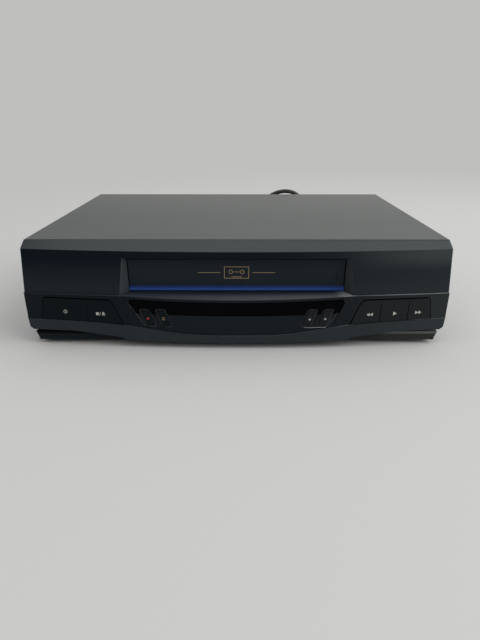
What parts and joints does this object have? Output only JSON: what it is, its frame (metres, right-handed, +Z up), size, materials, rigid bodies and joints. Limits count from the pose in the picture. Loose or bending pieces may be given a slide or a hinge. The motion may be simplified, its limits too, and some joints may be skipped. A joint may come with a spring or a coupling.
{
  "type": "vhs video cassette recorder",
  "caption": "Front-loading video cassette recorder: bowed dark front with a sprung cassette flap, push buttons, display window and a full tape deck under a painted steel cover.",
  "frame": {"origin": "on the ground, below the middle of the case's width and depth", "axes": "+X to the right seen from the front, +Y to the back, +Z up"},
  "size_m": [0.38, 0.3833, 0.098],
  "materials": {
    "cover_paint": "satin",
    "front_plastic": "satin moulded",
    "window_plastic": "polished",
    "door_plastic": "satin moulded",
    "blue_strip": "gloss",
    "button_plastic": "satin moulded",
    "pan_plastic": "moulded",
    "plated_steel": "zinc plated",
    "screw_black": "black",
    "board": "resin paper board",
    "rubber": "matte",
    "switch": "moulded",
    "tube_glass": "glass envelope",
    "white_plastic": "moulded",
    "nickel": "nickel plated",
    "drum_metal": "turned",
    "core": "varnished laminations",
    "heat_sink_metal": "black anodised",
    "capacitor": "sleeved",
    "brass": "turned",
    "cord_plastic": "satin"
  },
  "bodies": {
    "case": {"base_pan": "pan_plastic", "rubber_feet": "rubber", "top_cover": "cover_paint", "cover_screws": "screw_black", "rear_panel": "plated_steel", "upper_front": "front_plastic", "lower_front": "front_plastic", "display_window": "window_plastic", "centre_trim": "front_plastic", "front_circuit_board": "board", "push_switches": "switch", "display_tube": "tube_glass", "display_holder": "white_plastic", "main_circuit_board": "board", "supply_board": "board", "mains_transformer": "core", "supply_capacitors": "capacitor", "heat_sink": "heat_sink_metal", "tuner": "plated_steel", "aerial_sockets": "nickel", "phono_sockets": "switch", "cord_grip": "rubber", "power_cord": "cord_plastic", "cord_coil": "cord_plastic", "power_plug": "cord_plastic", "deck_plate": "plated_steel", "carriage_frames": "plated_steel", "carriage_bridge": "plated_steel", "lower_drum": "drum_metal", "capstan_motor": "drum_metal", "loading_motor": "plated_steel", "loading_belt": "rubber", "erase_head": "nickel", "sound_head": "nickel"},
    "door": {"cassette_door": "door_plastic", "door_strip": "blue_strip"},
    "power_button": {"power_button": "button_plastic"},
    "stop_eject_button": {"stop_eject_button": "button_plastic"},
    "rewind_button": {"rewind_button": "button_plastic"},
    "play_button": {"play_button": "button_plastic"},
    "fast_forward_button": {"fast_forward_button": "button_plastic"},
    "record_button": {"record_button": "button_plastic"},
    "source_button": {"source_button": "button_plastic"},
    "channel_down_button": {"channel_down_button": "button_plastic"},
    "channel_up_button": {"channel_up_button": "button_plastic"},
    "carriage_slides": {"carriage_slides": "plated_steel"},
    "cassette_basket": {"cassette_basket": "plated_steel"},
    "upper_drum": {"upper_drum": "drum_metal"},
    "capstan": {"capstan": "plated_steel"},
    "supply_reel": {"supply_reel": "white_plastic"},
    "takeup_reel": {"takeup_reel": "white_plastic"},
    "idler_arm": {"idler_arm": "plated_steel"},
    "idler_wheel": {"idler_wheel": "rubber"},
    "pinch_arm": {"pinch_arm": "plated_steel"},
    "pinch_roller": {"pinch_roller": "rubber"},
    "supply_guide": {"supply_guide": "plated_steel"},
    "takeup_guide": {"takeup_guide": "plated_steel"},
    "cam_wheel": {"cam_wheel": "white_plastic"},
    "motor_pulley": {"motor_pulley": "brass"},
    "tension_arm": {"tension_arm": "plated_steel"}
  },
  "joints": [
    {"name": "door_hinge", "type": "hinge", "parent": "case", "child": "door", "pos_m": [0, -0.1258, 0.0786], "axis": [1, 0, 0], "range_deg": [0, 85], "stiffness_Nm_per_rad": 0.008},
    {"name": "power_press", "type": "slide", "parent": "case", "child": "power_button", "axis": [0, 1, 0], "range_m": [0, 0.0008], "stiffness_N_per_m": 900, "springref_m": -0.0004},
    {"name": "stop_eject_press", "type": "slide", "parent": "case", "child": "stop_eject_button", "axis": [0, 1, 0], "range_m": [0, 0.0008], "stiffness_N_per_m": 900, "springref_m": -0.0004},
    {"name": "rewind_press", "type": "slide", "parent": "case", "child": "rewind_button", "axis": [0, 1, 0], "range_m": [0, 0.0008], "stiffness_N_per_m": 900, "springref_m": -0.0004},
    {"name": "play_press", "type": "slide", "parent": "case", "child": "play_button", "axis": [0, 1, 0], "range_m": [0, 0.0008], "stiffness_N_per_m": 900, "springref_m": -0.0004},
    {"name": "fast_forward_press", "type": "slide", "parent": "case", "child": "fast_forward_button", "axis": [0, 1, 0], "range_m": [0, 0.0008], "stiffness_N_per_m": 900, "springref_m": -0.0004},
    {"name": "record_press", "type": "slide", "parent": "case", "child": "record_button", "axis": [0, 1, 0], "range_m": [0, 0.0008], "stiffness_N_per_m": 900, "springref_m": -0.0004},
    {"name": "source_press", "type": "slide", "parent": "case", "child": "source_button", "axis": [0, 1, 0], "range_m": [0, 0.0008], "stiffness_N_per_m": 900, "springref_m": -0.0004},
    {"name": "channel_down_press", "type": "slide", "parent": "case", "child": "channel_down_button", "axis": [0, 1, 0], "range_m": [0, 0.0008], "stiffness_N_per_m": 900, "springref_m": -0.0004},
    {"name": "channel_up_press", "type": "slide", "parent": "case", "child": "channel_up_button", "axis": [0, 1, 0], "range_m": [0, 0.0008], "stiffness_N_per_m": 900, "springref_m": -0.0004},
    {"name": "carriage_in", "type": "slide", "parent": "case", "child": "carriage_slides", "axis": [0, 1, 0], "range_m": [0, 0.055]},
    {"name": "basket_down", "type": "slide", "parent": "carriage_slides", "child": "cassette_basket", "axis": [0, 0, -1], "range_m": [0, 0.022]},
    {"name": "drum_spin", "type": "hinge", "parent": "case", "child": "upper_drum", "pos_m": [-0.008, 0.052, 0.0262], "axis": [-0.1028, 0, 0.9947], "continuous": true},
    {"name": "capstan_spin", "type": "hinge", "parent": "case", "child": "capstan", "pos_m": [0.058, 0.012, 0.015], "axis": [0, 0, 1], "continuous": true},
    {"name": "supply_reel_spin", "type": "hinge", "parent": "case", "child": "supply_reel", "pos_m": [-0.046, -0.056, 0.022], "axis": [0, 0, 1], "continuous": true},
    {"name": "takeup_reel_spin", "type": "hinge", "parent": "case", "child": "takeup_reel", "pos_m": [0.046, -0.056, 0.022], "axis": [0, 0, 1], "continuous": true},
    {"name": "idler_swing", "type": "hinge", "parent": "case", "child": "idler_arm", "pos_m": [0, -0.034, 0.022], "axis": [0, 0, 1], "range_deg": [-28, 28]},
    {"name": "idler_spin", "type": "hinge", "parent": "idler_arm", "child": "idler_wheel", "pos_m": [0, -0.058, 0.023], "axis": [0, 0, 1], "continuous": true},
    {"name": "pinch_swing", "type": "hinge", "parent": "case", "child": "pinch_arm", "pos_m": [0.086, 0.03, 0.022], "axis": [0, 0, 1], "range_deg": [0, 40]},
    {"name": "pinch_roller_spin", "type": "hinge", "parent": "pinch_arm", "child": "pinch_roller", "pos_m": [0.0607, 0.037, 0.035], "axis": [0, 0, 1], "continuous": true},
    {"name": "cam_turn", "type": "hinge", "parent": "case", "child": "cam_wheel", "pos_m": [-0.084, 0.062, 0.022], "axis": [0, 0, 1], "range_deg": [0, 300]},
    {"name": "motor_pulley_turn", "type": "hinge", "parent": "case", "child": "motor_pulley", "pos_m": [-0.084, 0.096, 0.025], "axis": [0, 0, 1], "range_deg": [0, 825]},
    {"name": "supply_guide_slide", "type": "slide", "parent": "case", "child": "supply_guide", "axis": [-0.0933, 0.9956, 0], "range_m": [0, 0.06428]},
    {"name": "takeup_guide_slide", "type": "slide", "parent": "case", "child": "takeup_guide", "axis": [0.0755, 0.9971, 0], "range_m": [0, 0.06619]},
    {"name": "tension_swing", "type": "hinge", "parent": "case", "child": "tension_arm", "pos_m": [-0.074, 0.014, 0.022], "axis": [0, 0, 1], "range_deg": [-12, 12], "stiffness_Nm_per_rad": 0.02}
  ],
  "couplings": [
    {"joint": "takeup_guide_slide", "follows": "supply_guide_slide", "ratio": 1.0297},
    {"joint": "cam_turn", "follows": "supply_guide_slide", "rad_per_m": 81.454},
    {"joint": "motor_pulley_turn", "follows": "supply_guide_slide", "rad_per_m": 224}
  ]
}
